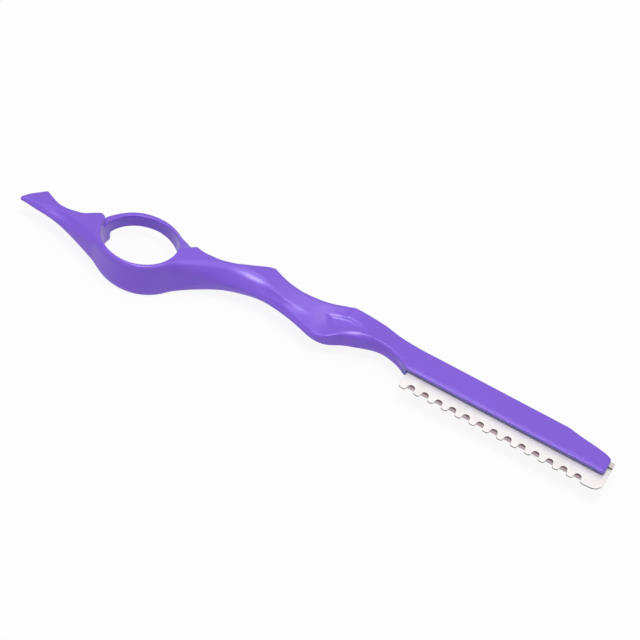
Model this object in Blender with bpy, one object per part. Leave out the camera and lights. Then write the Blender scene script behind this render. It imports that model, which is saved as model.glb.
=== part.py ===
"""Hair styling razor: a cast handle with a finger ring, and a guarded blade cartridge.

The razor lies flat. X runs from the tail to the tip, -Y is the side of the cutting edge,
and the broad faces look up and down along Z. The origin is under the middle of the box
that holds the razor, on the surface that it lies on.
"""

import math

import bmesh
import bpy
import numpy as np

MM = 0.001

# Handle as a whole.
HANDLE_LENGTH = 181.8 * MM
HANDLE_HALF_WIDTH = 14.8 * MM
HANDLE_HALF_THICKNESS = 5.3 * MM

# Finger ring. Its bore leans: towards the tail at the top face, towards the tip below.
RING_BORE = 22.7 * MM
RING_WALL = 1.4 * MM
RING_BAND_WALL = 1.55 * MM
RING_ALONG_SHARE = 0.20545
RING_ALONG = RING_ALONG_SHARE * HANDLE_LENGTH
RING_ACROSS_SHARE = -0.1216
RING_ACROSS = RING_ACROSS_SHARE * HANDLE_HALF_WIDTH
RING_LEAN = 9.65
RING_BAND_HALF_HEIGHT = 1.95 * MM
RING_BAND_CHAMFER = 0.35 * MM

# Web that thickens the far band into the grip, row by row along the bore's rim.
WEB_OVERLAP = 0.6 * MM

# Blade holder, the flat blade end of the handle.
HOLDER_HALF_THICKNESS = 1.9 * MM
HOLDER_NEAR_EDGE = 4.25 * MM
HOLDER_CORNER = 1.0 * MM

# Cartridge: a folded guard sheet with a blade strip in it and a spine clip on its back.
GUARD_LENGTH = 62.6 * MM
GUARD_PAST_TIP = 1.3 * MM
GUARD_START = HANDLE_LENGTH + GUARD_PAST_TIP - GUARD_LENGTH
GUARD_SHEET = 0.18 * MM
GUARD_SHOWN = 5.85 * MM
TOOTH_TIP_LINE = HOLDER_NEAR_EDGE - GUARD_SHOWN
GUARD_DEPTH = 11.0 * MM
GUARD_BACK = TOOTH_TIP_LINE + GUARD_DEPTH
GUARD_HEEL_CORNER = 0.9 * MM
GUARD_TOE_CORNER = 3.2 * MM
NOTCH_PITCH = 4.33 * MM
NOTCH_DEPTH = 2.6 * MM
NOTCH_WIDTH = 2.45 * MM
NOTCH_CORNER = 0.8 * MM
FIRST_NOTCH = 3.5 * MM
TOOTH_ROUND_SHARE = 0.4
BLADE_THICKNESS = 0.1 * MM
BLADE_BEHIND_TEETH = 0.95 * MM
BLADE_EDGE_LINE = TOOTH_TIP_LINE + BLADE_BEHIND_TEETH
BLADE_BEVEL = 0.9 * MM
BLADE_EDGE_SHARE = 0.2
BLADE_BACK_GAP = 1.0 * MM
BLADE_BACK = GUARD_BACK - GUARD_SHEET - BLADE_BACK_GAP
BLADE_END_INSET = 0.8 * MM
SHEET_GAP = 0.1 * MM
SPINE_SHEET = 0.3 * MM
SPINE_DEPTH = 2.2 * MM
SPINE_FLOOR_GAP = 0.6 * MM
SPINE_BACK = GUARD_BACK + SPINE_FLOOR_GAP + SPINE_SHEET
SLOT_GAP = 0.3 * MM
SLOT_END_GAP = 0.3 * MM

# How finely the curved shapes are cut.
STATION_STEP = 2.4 * MM
LEAST_STEP_SHARE = 0.025
RING_SIDES = 72
CORNER_STEPS = 6
CUT_OVERRUN = 2.0 * MM

# Far edge in plan, in runs that meet at corners. Each point is a share of the handle's
# length and a share of its half width.
FAR_EDGE_SHARES = (
    ((0.0, -0.412), (0.0080, -0.245), (0.0286, 0.018)),
    ((0.0286, 0.018), (0.0451, -0.088), (0.0600, -0.176), (0.0759, -0.203),
     (0.0897, -0.189), (0.1029, -0.168), (0.1139, -0.093), (0.1293, 0.012)),
    ((0.1293, 0.012), (0.2673, 0.081), (0.2871, 0.338)),
    ((0.2871, 0.338), (0.2992, 0.318), (0.3124, 0.340), (0.3245, 0.374),
     (0.3361, 0.437), (0.3471, 0.503), (0.3586, 0.585), (0.3691, 0.676),
     (0.3795, 0.770), (0.3905, 0.860), (0.4004, 0.910)),
    ((0.4004, 0.910), (0.4213, 0.804), (0.4378, 0.743), (0.4538, 0.713),
     (0.4675, 0.709), (0.4813, 0.725), (0.4945, 0.748), (0.5066, 0.795),
     (0.5182, 0.858), (0.5297, 0.925), (0.5440, 0.995)),
    ((0.5440, 0.995), (0.5693, 1.000), (0.5996, 0.988), (0.6271, 0.940),
     (0.6601, 0.912), (0.6947, 0.912), (0.9208, 0.912)),
    ((0.9208, 0.912), (0.9395, 0.858), (0.9763, 0.784), (0.9917, 0.733), (1.0, 0.676)),
)

# Near edge in plan, up to the blade holder, in the same shares.
NEAR_EDGE_SHARES = (
    (0.0, -0.412), (0.0083, -0.416), (0.0319, -0.438), (0.0550, -0.458),
    (0.0798, -0.508), (0.1144, -0.620), (0.1304, -0.680), (0.1485, -0.755),
    (0.1600, -0.820), (0.1800, -0.850), (0.2300, -0.850), (0.2602, -0.655),
    (0.2783, -0.418), (0.2987, -0.220), (0.3152, -0.105), (0.3322, -0.020),
    (0.3559, 0.092), (0.3801, 0.187), (0.4070, 0.232), (0.4367, 0.216),
    (0.4686, 0.142), (0.4851, 0.086), (0.5022, 0.030), (0.5160, 0.033),
    (0.5292, 0.080), (0.5396, 0.146), (0.5501, 0.250), (0.5611, 0.336),
    (0.5732, 0.384), (0.5847, 0.452), (0.5968, 0.516), (0.6100, 0.532),
    (0.6249, 0.503), (0.6414, 0.432), (0.6590, 0.300),
)

# Inset of the upper ridge from the near edge, as a share of the half width.
RIDGE_INSET_SHARES = (
    (0.0, 0.03), (0.044, 0.22), (0.081, 0.18), (0.120, 0.155), (0.159, 0.09),
    (0.180, 0.085), (0.262, 0.085), (0.294, 0.14), (0.317, 0.20), (0.343, 0.25),
    (0.368, 0.22), (0.394, 0.20), (0.417, 0.17), (0.444, 0.20), (0.467, 0.26),
    (0.490, 0.34), (0.502, 0.45), (0.514, 0.51), (0.528, 0.56), (0.542, 0.52),
    (0.562, 0.34), (0.572, 0.17), (0.586, 0.11), (0.601, 0.05), (0.620, 0.025),
    (1.0, 0.025),
)

# Half thickness along the handle, as a share of the thickest part.
THICKNESS_SHARES = (
    (0.0, 0.14), (0.022, 0.22), (0.050, 0.32), (0.077, 0.45), (0.110, 0.64),
    (0.143, 0.85), (0.170, 0.99), (0.190, 1.0), (0.270, 1.0), (0.308, 0.95),
    (0.330, 0.87), (0.352, 0.78), (0.374, 0.70), (0.396, 0.63), (0.418, 0.60),
    (0.462, 0.60), (0.506, 0.625), (0.539, 0.64), (0.561, 0.60), (0.583, 0.53),
    (0.605, 0.43),
)

# Height of the near side's upright part, as a share of the half thickness there.
SHOULDER_SHARES = (
    (0.0, 0.55), (0.055, 0.40), (0.083, 0.42), (0.110, 0.53), (0.143, 0.64),
    (0.170, 0.68), (0.268, 0.68), (0.308, 0.62), (0.341, 0.45), (0.374, 0.30),
    (0.418, 0.25), (0.462, 0.25), (0.506, 0.40), (0.539, 0.55), (0.566, 0.55),
    (0.594, 0.42), (0.640, 0.42), (0.659, 0.80), (1.0, 0.85),
)

# Bow of the slope between shoulder and ridge: 1 is full, 0 straight, -1 hollow.
BOW_SHARES = (
    (0.0, 0.2), (0.130, 0.4), (0.170, 0.6), (0.270, 0.6), (0.320, 0.4),
    (0.360, -0.5), (0.440, -0.7), (0.485, -0.4), (0.510, 0.6), (0.560, 0.8),
    (0.600, 1.0), (1.0, 1.0),
)

# Wall of the far band round the bore, by angle, as a share of its plain wall. It flares
# where it runs into the tang.
BAND_WALL_SHARES = ((-8, 1.0), (140, 1.0), (152, 1.1), (166, 1.42), (188, 1.6))

# The web's rows: an angle round the bore, and the web's half height at the rim and at its
# outer edge as shares of the half thickness. The first rows end on the band.
WEB_HEIGHT_SHARES = (
    (87, 0.368, 0.345), (72, 0.42, 0.375), (61, 0.50, 0.41), (51, 0.57, 0.45),
    (36, 0.61, 0.47), (20, 0.72, 0.58), (5, 0.87, 0.81),
)
# Where the last rows end in plan, as shares of the length and of the half width.
WEB_CORNER_SHARES = ((0.2745, 0.426), (0.2992, 0.270), (0.2761, 0.108))

# Chamfer along the far edge, as a share of the half thickness there.
FAR_CHAMFER_SHARE = 0.12

# Most that the ridge's inset takes of the handle's width, and the chamfer of what is left.
RIDGE_LIMIT_SHARE = 0.75
CHAMFER_LIMIT_SHARE = 0.5
# Least width of the handle in plan, as a share of the holder's corner radius.
LEAST_WIDTH_SHARE = 0.25
# How far from the bore's centre the lean stays full and where it ends, as shares of the bore.
LEAN_FULL_SHARE = 0.6
LEAN_END_SHARE = 1.1
# Places on the slope between shoulder and ridge.
SLOPE_SHARES = (0.0, 0.25, 0.5, 0.75, 1.0)


def clear_scene():
    """Remove every object of the scene that the script starts in."""
    for item in list(bpy.data.objects):
        bpy.data.objects.remove(item, do_unlink=True)


def paint(item, name, colour, roughness, metallic):
    """Give an object its own Principled material."""
    material = bpy.data.materials.new(name)
    material.use_nodes = True
    shader = material.node_tree.nodes["Principled BSDF"]
    shader.inputs["Base Color"].default_value = (*colour, 1.0)
    shader.inputs["Roughness"].default_value = roughness
    shader.inputs["Metallic"].default_value = metallic
    item.data.materials.append(material)


def add_object(name, mesh):
    """Put a mesh into the scene under a name."""
    item = bpy.data.objects.new(name, mesh)
    bpy.context.scene.collection.objects.link(item)
    return item


def mesh_from(name, points, faces):
    """Make a mesh of points and faces, with all its faces turned outwards."""
    mesh = bpy.data.meshes.new(name)
    mesh.from_pydata([tuple(point) for point in points], [], faces)
    solid = bmesh.new()
    solid.from_mesh(mesh)
    bmesh.ops.recalc_face_normals(solid, faces=solid.faces)
    solid.to_mesh(mesh)
    solid.free()
    return mesh


def smooth_run(points, at):
    """Cubic curve through points, each slope the mean of the slopes beside it."""
    xs = np.array([point[0] for point in points])
    ys = np.array([point[1] for point in points])
    slopes = np.diff(ys) / np.diff(xs)
    tangents = np.concatenate((slopes[:1], (slopes[:-1] + slopes[1:]) / 2, slopes[-1:]))
    piece = np.clip(np.searchsorted(xs, at, side="right") - 1, 0, len(xs) - 2)
    width = xs[piece + 1] - xs[piece]
    t = (np.clip(at, xs[0], xs[-1]) - xs[piece]) / width
    start = (1 + 2 * t) * (1 - t) ** 2 * ys[piece] + t * (1 - t) ** 2 * width * tangents[piece]
    end = t * t * (3 - 2 * t) * ys[piece + 1] + t * t * (t - 1) * width * tangents[piece + 1]
    return start + end


def along_shares(table, share):
    """Straight lines between the rows of a table of shares."""
    return np.interp(share, [row[0] for row in table], [row[1] for row in table])


def far_edge(share):
    """Far edge of the handle in plan, run by run."""
    edge = np.zeros_like(share)
    for run in FAR_EDGE_SHARES:
        inside = (share >= run[0][0]) & (share <= run[-1][0])
        follow = smooth_run if len(run) > 3 else along_shares
        edge[inside] = follow(run, share[inside])
    return edge * HANDLE_HALF_WIDTH


def near_edge(share):
    """Near edge of the handle in plan: the ring's outer wall, then the holder's edge."""
    table_end = NEAR_EDGE_SHARES[-1][0]
    edge = smooth_run(NEAR_EDGE_SHARES, share) * HANDLE_HALF_WIDTH
    edge = np.where(share > table_end, HOLDER_NEAR_EDGE, edge)
    outer = RING_BORE / 2 + RING_WALL
    from_centre = share * HANDLE_LENGTH - RING_ALONG
    reach = np.sqrt(np.clip(outer ** 2 - from_centre ** 2, 0, None))
    beside_ring = np.abs(from_centre) < outer
    edge = np.where(beside_ring, np.minimum(edge, RING_ACROSS - reach), edge)
    corner_from = HANDLE_LENGTH - HOLDER_CORNER
    past = np.clip(share * HANDLE_LENGTH - corner_from, 0, HOLDER_CORNER)
    return edge + HOLDER_CORNER - np.sqrt(HOLDER_CORNER ** 2 - past ** 2)


def station_shares():
    """Where the handle's cross-sections lie, with one at every corner of the outline."""
    steps = round(HANDLE_LENGTH / STATION_STEP)
    stations = set(np.linspace(0, 1, steps + 1))
    for run in FAR_EDGE_SHARES:
        stations.update((run[0][0], run[-1][0]))
    stations.update(np.linspace(0, FAR_EDGE_SHARES[0][-1][0], CORNER_STEPS))
    stations.add(NEAR_EDGE_SHARES[-1][0])
    for step in range(CORNER_STEPS):
        turn = math.sin(math.pi / 2 * step / CORNER_STEPS)
        stations.add(1 - HOLDER_CORNER * (1 - turn) / HANDLE_LENGTH)
    ordered = np.array(sorted(stations))
    least = LEAST_STEP_SHARE * STATION_STEP / HANDLE_LENGTH
    keep = np.concatenate(([True], np.diff(ordered) > least))
    return ordered[keep]


def half_thickness(share):
    """Half thickness of the handle, down to the flat blade holder."""
    thick = along_shares(THICKNESS_SHARES, share) * HANDLE_HALF_THICKNESS
    beyond = share > THICKNESS_SHARES[-1][0]
    start = THICKNESS_SHARES[-1][0]
    end = NEAR_EDGE_SHARES[-1][0]
    blend = np.clip((share - start) / (end - start), 0, 1)
    first = THICKNESS_SHARES[-1][1] * HANDLE_HALF_THICKNESS
    level = first + (HOLDER_HALF_THICKNESS - first) * np.sqrt(blend)
    return np.where(beyond, level, thick)


def lean(points, share):
    """Slide points along X in step with their height, as far as the ring's lean says."""
    away = np.abs(share * HANDLE_LENGTH - RING_ALONG) / RING_BORE
    fade = np.clip((LEAN_END_SHARE - away) / (LEAN_END_SHARE - LEAN_FULL_SHARE), 0, 1)
    points[:, :, 0] -= points[:, :, 2] * math.tan(math.radians(RING_LEAN)) * fade[:, None]
    return points


def handle_body():
    """Loft the handle without its slot and bore: one closed ring of points a station."""
    share = station_shares()
    far = far_edge(share)
    near = near_edge(share)
    far = np.maximum(far, near + LEAST_WIDTH_SHARE * HOLDER_CORNER)
    half = half_thickness(share)
    shoulder = half * along_shares(SHOULDER_SHARES, share)
    bow = along_shares(BOW_SHARES, share)
    inset = along_shares(RIDGE_INSET_SHARES, share) * HANDLE_HALF_WIDTH
    ridge = near + np.minimum(inset, RIDGE_LIMIT_SHARE * (far - near))
    chamfer = np.minimum(FAR_CHAMFER_SHARE * half, CHAMFER_LIMIT_SHARE * (far - ridge))

    full = np.stack((near, half), 1)
    hollow = np.stack((ridge, shoulder), 1)
    weight = (bow[:, None] + 1) / 2
    pull = hollow + (full - hollow) * weight
    start = np.stack((near, shoulder), 1)
    end = np.stack((ridge, half), 1)
    slope = [
        start * (1 - t) ** 2 + pull * 2 * t * (1 - t) + end * t ** 2
        for t in SLOPE_SHARES
    ]
    upper = slope + [
        np.stack((far - chamfer, half), 1),
        np.stack((far, half - chamfer), 1),
    ]
    lower = [profile * (1, -1) for profile in reversed(upper)]
    outline = np.stack(upper + lower, 1)

    along = np.broadcast_to((share * HANDLE_LENGTH)[:, None, None], outline[:, :, :1].shape)
    points = lean(np.concatenate((along, outline), 2), share)
    count, sides = points.shape[:2]
    faces = strip_faces(count, sides, False)
    faces.append(tuple(reversed(range(sides))))
    faces.append(tuple((count - 1) * sides + side for side in range(sides)))
    return mesh_from("handle", points.reshape(-1, 3), faces)


def leaning_point(radius, degrees, height):
    """Point beside the finger ring's axis, which leans along X with height."""
    turn = math.radians(degrees)
    slant = math.tan(math.radians(RING_LEAN))
    return (
        RING_ALONG + radius * math.cos(turn) - height * slant,
        RING_ACROSS + radius * math.sin(turn),
        height,
    )


def strip_faces(rows, count, closed):
    """Quads between following rows of points, and round each row's ends if closed."""
    faces = []
    for row in range(rows if closed else rows - 1):
        for side in range(count):
            following = (side + 1) % count
            beyond = (row + 1) % rows
            faces.append((
                row * count + side,
                row * count + following,
                beyond * count + following,
                beyond * count + side,
            ))
    return faces


def leaning_cylinder(name, radius, bottom, top):
    """Cylinder on the finger ring's leaning axis."""
    degrees = [360 * side / RING_SIDES for side in range(RING_SIDES)]
    points = [leaning_point(radius, turn, z) for z in (bottom, top) for turn in degrees]
    faces = strip_faces(2, RING_SIDES, False)
    faces.append(tuple(range(RING_SIDES)))
    faces.append(tuple(range(RING_SIDES, 2 * RING_SIDES)))
    return add_object(name, mesh_from(name, points, faces))


def ring_band():
    """Far band of the finger ring: an arc of wall with its outer edges chamfered."""
    inner = RING_BORE / 2
    top = RING_BAND_HALF_HEIGHT
    cut = RING_BAND_CHAMFER
    first, last = BAND_WALL_SHARES[0][0], BAND_WALL_SHARES[-1][0]
    rows = round(RING_SIDES * (last - first) / 360)
    points = []
    for turn in np.linspace(first, last, rows + 1):
        outer = inner + RING_BAND_WALL * along_shares(BAND_WALL_SHARES, turn)
        profile = (
            (inner, -top), (inner, top), (outer - cut, top),
            (outer, top - cut), (outer, cut - top), (outer - cut, -top),
        )
        points += [leaning_point(size, turn, z) for size, z in profile]
    sides = len(profile)
    faces = strip_faces(rows + 1, sides, False)
    faces += [tuple(range(sides)), tuple(range(rows * sides, (rows + 1) * sides))]
    return add_object("band", mesh_from("band", points, faces))


def ring_web():
    """Web from the band to the grip: sloping top and bottom between rim and outer edge."""
    slant = math.tan(math.radians(RING_LEAN))
    inside = RING_BORE / 2 - WEB_OVERLAP
    outer = RING_BORE / 2 + RING_BAND_WALL - RING_BAND_CHAMFER / 2
    on_band = len(WEB_HEIGHT_SHARES) - len(WEB_CORNER_SHARES)
    points = []
    for row, (degrees, rim_share, edge_share) in enumerate(WEB_HEIGHT_SHARES):
        rim = rim_share * HANDLE_HALF_THICKNESS
        edge = edge_share * HANDLE_HALF_THICKNESS
        points += [leaning_point(inside, degrees, z) for z in (-rim, rim)]
        if row < on_band:
            points += [leaning_point(outer, degrees, z) for z in (edge, -edge)]
            continue
        along_share, across_share = WEB_CORNER_SHARES[row - on_band]
        along = along_share * HANDLE_LENGTH
        across = across_share * HANDLE_HALF_WIDTH
        points += [(along - z * slant, across, z) for z in (edge, -edge)]
    rows = len(WEB_HEIGHT_SHARES)
    faces = strip_faces(rows, 4, False)
    faces += [(0, 1, 2, 3), tuple(range(4 * rows - 4, 4 * rows))]
    mesh = mesh_from("web", points, faces)
    solid = bmesh.new()
    solid.from_mesh(mesh)
    bmesh.ops.triangulate(solid, faces=solid.faces)
    solid.to_mesh(mesh)
    solid.free()
    return add_object("web", mesh)


def box(name, low, high):
    """Closed box between two corners."""
    points = [
        (x, y, z)
        for x in (low[0], high[0])
        for y in (low[1], high[1])
        for z in (low[2], high[2])
    ]
    faces = [
        (0, 1, 3, 2), (4, 6, 7, 5), (0, 4, 5, 1),
        (2, 3, 7, 6), (0, 2, 6, 4), (1, 5, 7, 3),
    ]
    return add_object(name, mesh_from(name, points, faces))


def boolean(item, other, operation):
    """Apply a Boolean of another object to an object, and drop the other one."""
    modifier = item.modifiers.new(operation.lower(), "BOOLEAN")
    modifier.operation = operation
    modifier.solver = "EXACT"
    modifier.object = other
    evaluated = item.evaluated_get(bpy.context.evaluated_depsgraph_get())
    mesh = bpy.data.meshes.new_from_object(evaluated)
    item.modifiers.clear()
    item.data = mesh
    bpy.data.objects.remove(other, do_unlink=True)


def guard_half_height():
    """From the blade's middle plane to the guard's outer face."""
    return BLADE_THICKNESS / 2 + SHEET_GAP + GUARD_SHEET


def spine_half_height():
    """From the blade's middle plane to the spine clip's outer face."""
    return guard_half_height() + SHEET_GAP + SPINE_SHEET


def build_handle():
    """Cast handle: tang, finger ring, grip and slotted blade holder in one piece."""
    handle = add_object("handle", handle_body())
    reach = HANDLE_HALF_THICKNESS + CUT_OVERRUN
    boolean(handle, ring_web(), "UNION")
    bore = leaning_cylinder("bore", RING_BORE / 2, -reach, reach)
    boolean(handle, bore, "DIFFERENCE")
    boolean(handle, ring_band(), "UNION")

    slot_start = GUARD_START - SLOT_END_GAP
    past_tip = HANDLE_LENGTH + CUT_OVERRUN
    mouth = guard_half_height() + SLOT_GAP
    channel = spine_half_height() + SLOT_GAP
    slot = box(
        "slot",
        (slot_start, HOLDER_NEAR_EDGE - CUT_OVERRUN, -mouth),
        (past_tip, GUARD_BACK, mouth),
    )
    boolean(handle, slot, "DIFFERENCE")
    spine_room = box(
        "spine_room",
        (slot_start, SPINE_BACK - SPINE_DEPTH - SLOT_GAP, -channel),
        (past_tip, SPINE_BACK + SLOT_GAP, channel),
    )
    boolean(handle, spine_room, "DIFFERENCE")
    paint(handle, "purple_coating", (0.205, 0.115, 0.62), 0.42, 0.25)
    return handle


def arc(centre, radius, start, end, steps=CORNER_STEPS):
    """Points on an arc in plan, from one angle to another in degrees."""
    angles = np.radians(np.linspace(start, end, steps + 1))
    return [
        (centre[0] + radius * math.cos(turn), centre[1] + radius * math.sin(turn))
        for turn in angles
    ]


def notch_count(tooth_round):
    """How many notches fit between the first one and the guard's rounded toe."""
    last_room = NOTCH_WIDTH / 2 + tooth_round + GUARD_TOE_CORNER
    return int((GUARD_LENGTH - FIRST_NOTCH - last_room) // NOTCH_PITCH) + 1


def guard_outline():
    """Outline of the guard in plan, from its heel along the scalloped edge to its toe."""
    heel = GUARD_START
    toe = GUARD_START + GUARD_LENGTH
    tips = TOOTH_TIP_LINE
    root = tips + NOTCH_DEPTH
    half = NOTCH_WIDTH / 2
    tooth_round = TOOTH_ROUND_SHARE * (NOTCH_PITCH - NOTCH_WIDTH)
    outline = [(heel, GUARD_BACK)]
    corner = GUARD_HEEL_CORNER
    outline += arc((heel + corner, tips + corner), corner, 180, 270)
    for notch in range(notch_count(tooth_round)):
        middle = heel + FIRST_NOTCH + notch * NOTCH_PITCH
        left, right = middle - half, middle + half
        outline += arc((left - tooth_round, tips + tooth_round), tooth_round, 270, 360)
        outline += arc((left + NOTCH_CORNER, root - NOTCH_CORNER), NOTCH_CORNER, 180, 90)
        outline += arc((right - NOTCH_CORNER, root - NOTCH_CORNER), NOTCH_CORNER, 90, 0)
        outline += arc((right + tooth_round, tips + tooth_round), tooth_round, 180, 270)
    corner = GUARD_TOE_CORNER
    outline += arc((toe - corner, tips + corner), corner, 270, 360)
    outline.append((toe, GUARD_BACK))
    return outline


def plate(name, outline, low, high):
    """Flat closed sheet of an outline in plan, between two heights."""
    count = len(outline)
    points = [(x, y, low) for x, y in outline] + [(x, y, high) for x, y in outline]
    faces = [tuple(reversed(range(count))), tuple(range(count, 2 * count))]
    for corner in range(count):
        following = (corner + 1) % count
        faces.append((corner, following, count + following, count + corner))
    return add_object(name, mesh_from(name, points, faces))


def build_guard():
    """Guard: one sheet folded round the blade's back, scalloped on both its leaves."""
    outer = guard_half_height()
    inner = outer - GUARD_SHEET
    guard = plate("guard", guard_outline(), inner, outer)
    lower = plate("lower_leaf", guard_outline(), -outer, -inner)
    fold = box(
        "fold",
        (GUARD_START, GUARD_BACK - GUARD_SHEET, -outer),
        (GUARD_START + GUARD_LENGTH, GUARD_BACK, outer),
    )
    boolean(guard, fold, "UNION")
    boolean(guard, lower, "UNION")
    paint(guard, "guard_steel", (0.82, 0.80, 0.79), 0.32, 0.85)
    return guard


def build_blade():
    """Blade strip with its bevelled cutting edge towards -Y."""
    start = GUARD_START + BLADE_END_INSET
    end = GUARD_START + GUARD_LENGTH - BLADE_END_INSET
    half = BLADE_THICKNESS / 2
    edge = BLADE_EDGE_SHARE * half
    section = [
        (BLADE_EDGE_LINE, -edge),
        (BLADE_EDGE_LINE + BLADE_BEVEL, -half),
        (BLADE_BACK, -half),
        (BLADE_BACK, half),
        (BLADE_EDGE_LINE + BLADE_BEVEL, half),
        (BLADE_EDGE_LINE, edge),
    ]
    return extrude_section("blade", section, start, end, (0.62, 0.60, 0.61), 0.22)


def build_spine():
    """Spine clip: a channel of sheet pressed over the folded back of the guard."""
    outer = spine_half_height()
    inner = outer - SPINE_SHEET
    front = SPINE_BACK - SPINE_DEPTH
    floor = SPINE_BACK - SPINE_SHEET
    section = [
        (front, -outer), (SPINE_BACK, -outer), (SPINE_BACK, outer), (front, outer),
        (front, inner), (floor, inner), (floor, -inner), (front, -inner),
    ]
    end = GUARD_START + GUARD_LENGTH
    return extrude_section("spine_clip", section, GUARD_START, end, (0.78, 0.74, 0.74), 0.3)


def extrude_section(name, section, start, end, colour, roughness):
    """Straight steel strip of a cross-section in Y and Z, between two places along X."""
    count = len(section)
    points = [(start, y, z) for y, z in section] + [(end, y, z) for y, z in section]
    faces = [tuple(range(count)), tuple(reversed(range(count, 2 * count)))]
    for corner in range(count):
        following = (corner + 1) % count
        faces.append((corner, count + corner, count + following, following))
    item = add_object(name, mesh_from(name, points, faces))
    paint(item, name + "_steel", colour, roughness, 0.9)
    return item


def stand_on_surface(items):
    """Move the whole razor so that the origin is under the middle of its box."""
    corners = np.array([vertex.co for item in items for vertex in item.data.vertices])
    low, high = corners.min(axis=0), corners.max(axis=0)
    shift = np.array([(low[0] + high[0]) / 2, (low[1] + high[1]) / 2, low[2]])
    for item in items:
        places = np.array([vertex.co for vertex in item.data.vertices]) - shift
        item.data.vertices.foreach_set("co", places.ravel())
        item.data.update()
        item.data.set_sharp_from_angle(angle=math.radians(35))


def hold_together(items):
    """Parent the cartridge's pieces to an empty at the cartridge's middle."""
    carrier = bpy.data.objects.new("cartridge", None)
    bpy.context.scene.collection.objects.link(carrier)
    corners = np.array([vertex.co for item in items for vertex in item.data.vertices])
    carrier.location = (corners.min(axis=0) + corners.max(axis=0)) / 2
    bpy.context.view_layer.update()
    for item in items:
        item.parent = carrier
        item.matrix_parent_inverse = carrier.matrix_world.inverted()


def build():
    """Build every piece of the razor."""
    clear_scene()
    handle = build_handle()
    cartridge = [build_guard(), build_blade(), build_spine()]
    stand_on_surface([handle, *cartridge])
    hold_together(cartridge)


build()
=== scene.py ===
"""Looks of a hair styling razor: a coated cast handle with a guarded blade cartridge."""

import math

import bpy
import numpy as np
from mathutils import Matrix, Vector


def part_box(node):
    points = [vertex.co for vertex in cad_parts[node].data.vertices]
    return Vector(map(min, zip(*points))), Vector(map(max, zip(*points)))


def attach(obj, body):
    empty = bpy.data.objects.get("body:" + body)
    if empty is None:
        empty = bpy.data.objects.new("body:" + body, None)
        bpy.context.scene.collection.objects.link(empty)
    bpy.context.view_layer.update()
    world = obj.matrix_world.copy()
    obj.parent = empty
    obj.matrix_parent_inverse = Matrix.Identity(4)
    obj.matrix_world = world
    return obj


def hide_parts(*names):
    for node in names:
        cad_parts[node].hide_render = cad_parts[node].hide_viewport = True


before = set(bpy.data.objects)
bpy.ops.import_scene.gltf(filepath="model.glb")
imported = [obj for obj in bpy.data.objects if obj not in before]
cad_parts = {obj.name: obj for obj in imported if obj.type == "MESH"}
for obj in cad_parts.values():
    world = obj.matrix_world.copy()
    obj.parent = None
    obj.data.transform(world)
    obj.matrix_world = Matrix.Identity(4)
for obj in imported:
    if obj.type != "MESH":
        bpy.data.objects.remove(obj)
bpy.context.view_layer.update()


# Handle: one casting of tang, finger ring, thumb rest and slotted blade holder, ground smooth
# and given a satin violet coating. It is worked out as one skin, in millimetres from the
# tail's end and from the middle of its thickness.
MM = 0.001
LENGTH = 181.8
HALF_WIDTH = 14.8
HALF_THICKNESS = 5.3
TAIL_START = -0.1
# Middle of the whole razor's width, which the frame has at nought.
MIDDLE_ACROSS = 0.141

# Finger ring: its bore leans along the handle with height, and the cross-sections near it lean
# with it. The lean fades out before a distance from the ring, in bore diameters. The near wall
# runs round the bore and eases into the near edge.
RING_ALONG = 37.35
RING_ACROSS = -1.8
BORE_RADIUS = 11.35
LEAN_SLOPE = math.tan(math.radians(9.65))
LEAN_END_SHARE = 1.1
LEAN_FADE_SHARE = 0.5
NEAR_WALL_RADIUS = 12.695
NEAR_WALL_EASE = 2.0

# Far edge in plan, in runs that meet at corners: share of the length, share of half width.
# A run of up to three points is straight from point to point, and a longer one is a curve.
STRAIGHT_POINTS = 3
FAR_EDGE_RUNS = (
    ((0.0, -0.41), (0.0080, -0.235), (0.0286, 0.03)),
    ((0.0286, 0.03), (0.0451, -0.09), (0.0600, -0.176), (0.0759, -0.203),
     (0.0897, -0.189), (0.1029, -0.168), (0.1139, -0.093), (0.1293, 0.012)),
    ((0.1293, 0.012), (0.2673, 0.081), (0.2871, 0.320)),
    ((0.2871, 0.320), (0.2992, 0.285), (0.3124, 0.303), (0.3245, 0.336),
     (0.3361, 0.405), (0.3471, 0.480), (0.3586, 0.585), (0.3691, 0.676),
     (0.3795, 0.770), (0.3905, 0.860), (0.4004, 0.910)),
    ((0.4004, 0.910), (0.4213, 0.804), (0.4378, 0.743), (0.4538, 0.713),
     (0.4675, 0.709), (0.4813, 0.725), (0.4945, 0.748), (0.5066, 0.795),
     (0.5182, 0.858), (0.5297, 0.925), (0.5440, 0.995)),
    ((0.5440, 0.995), (0.5693, 1.000), (0.5996, 0.988), (0.6271, 0.940),
     (0.6601, 0.912), (0.6947, 0.912), (0.9208, 0.912)),
    ((0.9208, 0.912), (0.9395, 0.858), (0.9763, 0.784), (0.9917, 0.733), (1.0, 0.676)),
)
# Near edge in plan, in the same shares. Beyond its last point the blade holder is straight.
NEAR_EDGE = (
    (0.0, -0.42), (0.0083, -0.425), (0.0319, -0.448), (0.0550, -0.465),
    (0.0798, -0.515), (0.1144, -0.635), (0.1304, -0.695), (0.1485, -0.762),
    (0.1600, -0.820), (0.1800, -0.850), (0.2300, -0.850), (0.2602, -0.655),
    (0.2783, -0.418), (0.2987, -0.220), (0.3152, -0.105), (0.3322, -0.005),
    (0.3559, 0.120), (0.3801, 0.200), (0.4070, 0.235), (0.4367, 0.217),
    (0.4686, 0.141), (0.4851, 0.082), (0.5022, 0.020), (0.5160, 0.003),
    (0.5292, 0.058), (0.5396, 0.158), (0.5501, 0.252), (0.5611, 0.325),
    (0.5732, 0.375), (0.5847, 0.435), (0.5968, 0.505), (0.6100, 0.532),
    (0.6249, 0.503), (0.6414, 0.432), (0.6590, 0.287),
)
HOLDER_NEAR_EDGE = 4.25
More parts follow.
